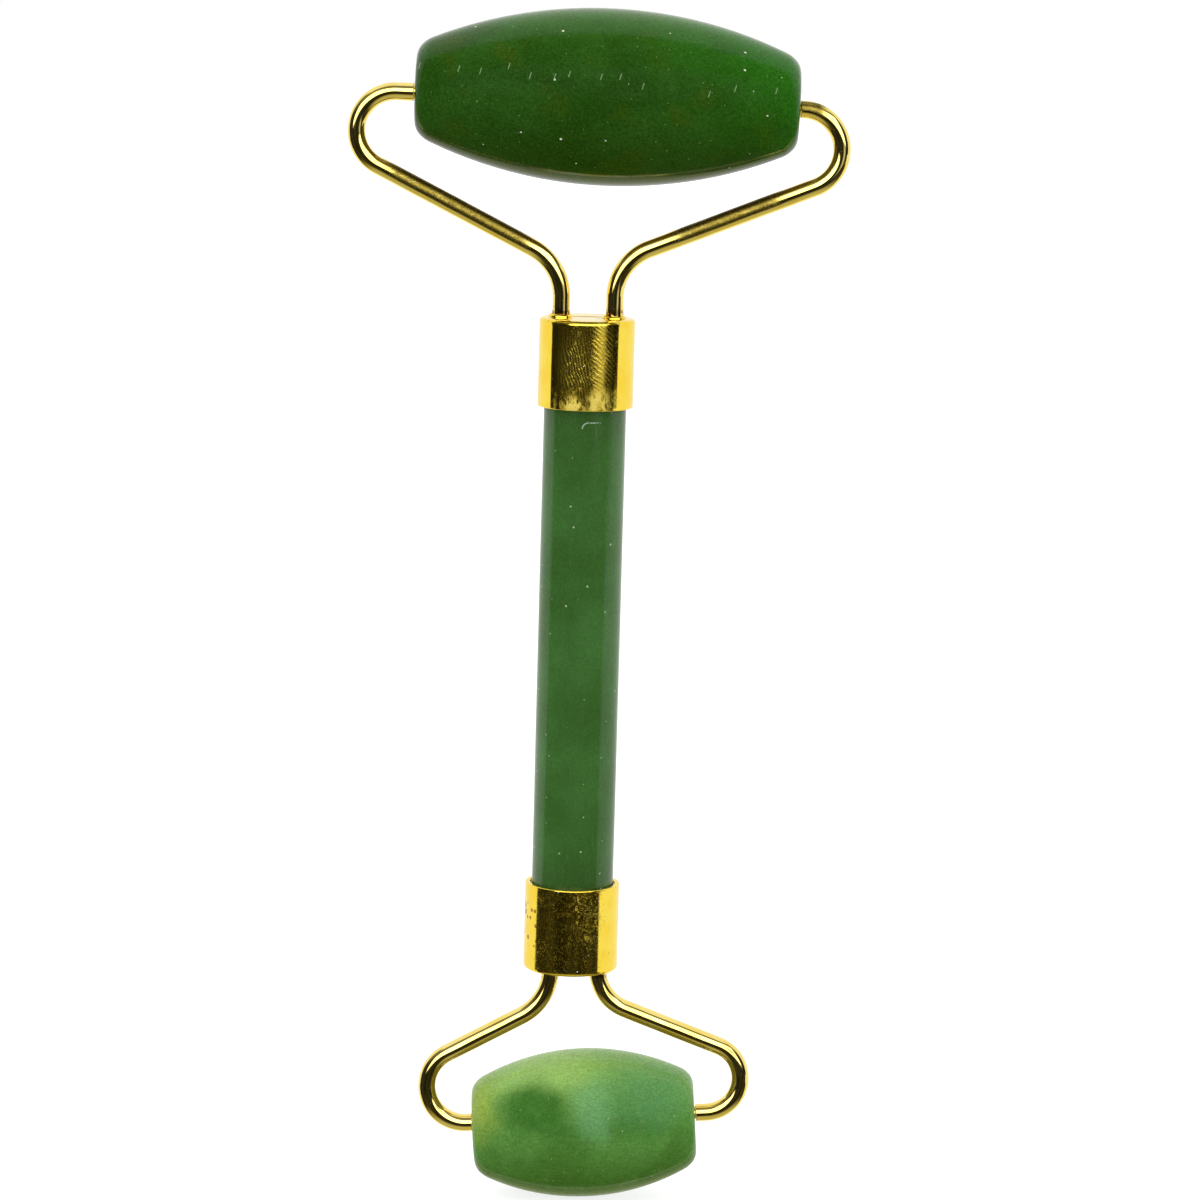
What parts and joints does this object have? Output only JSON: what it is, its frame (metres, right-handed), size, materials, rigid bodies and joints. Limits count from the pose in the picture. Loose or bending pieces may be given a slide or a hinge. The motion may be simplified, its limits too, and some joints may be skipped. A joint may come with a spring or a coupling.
{
  "type": "face roller",
  "caption": "Face massage roller: a round stone handle with a brass cup and bent wire yoke at each end, each yoke holding a barrel-shaped stone that spins.",
  "frame": {"origin": "centre of the handle, on its axis, midway between the two brass cups", "axes": "+Z along the handle towards the large stone, X along the yokes with +X at the right when the large stone is at the top, -Y towards the viewer"},
  "size_m": [0.0605, 0.0212, 0.1464],
  "materials": {
    "handle_jade": "polished mid-green jade with a fine grain",
    "large_jade": "polished deep green jade with olive mottling",
    "small_jade": "polished pale green jade with cloudy yellow-green and dark patches",
    "cup_brass": "bright gold-plated brass with smudges and fine pits",
    "wire_gold": "bright gold-plated wire",
    "braze": "lumpy gold-plated braze",
    "glue": "cured clear epoxy, slightly yellow",
    "sleeve_nylon": "natural white nylon"
  },
  "bodies": {
    "handle": {"handle_rod": "handle_jade", "large_cup": "cup_brass", "small_cup": "cup_brass", "large_glue": "glue", "small_glue": "glue", "large_arm_left": "wire_gold", "large_arm_right": "wire_gold", "small_arm_left": "wire_gold", "small_arm_right": "wire_gold", "large_braze_left": "braze", "large_braze_right": "braze", "small_braze_left": "braze", "small_braze_right": "braze"},
    "large_sleeves": {"large_sleeve_left": "sleeve_nylon", "large_sleeve_right": "sleeve_nylon"},
    "large_stone": {"large_roller": "large_jade"},
    "small_sleeves": {"small_sleeve_left": "sleeve_nylon", "small_sleeve_right": "sleeve_nylon"},
    "small_stone": {"small_roller": "small_jade"}
  },
  "joints": [
    {"name": "large_end_play", "type": "slide", "parent": "handle", "child": "large_sleeves", "axis": [0.9998, 0, -0.0175], "range_m": [-0.00015, 0.00015]},
    {"name": "large_spin", "type": "hinge", "parent": "large_sleeves", "child": "large_stone", "pos_m": [0.0017, 0, 0.0663], "axis": [0.9998, 0, -0.0175], "continuous": true},
    {"name": "small_end_play", "type": "slide", "parent": "handle", "child": "small_sleeves", "axis": [0.9973, 0, 0.0732], "range_m": [-0.00005, 0.0001]},
    {"name": "small_spin", "type": "hinge", "parent": "small_sleeves", "child": "small_stone", "pos_m": [0.0022, 0, -0.0593], "axis": [0.9973, 0, 0.0732], "continuous": true}
  ]
}
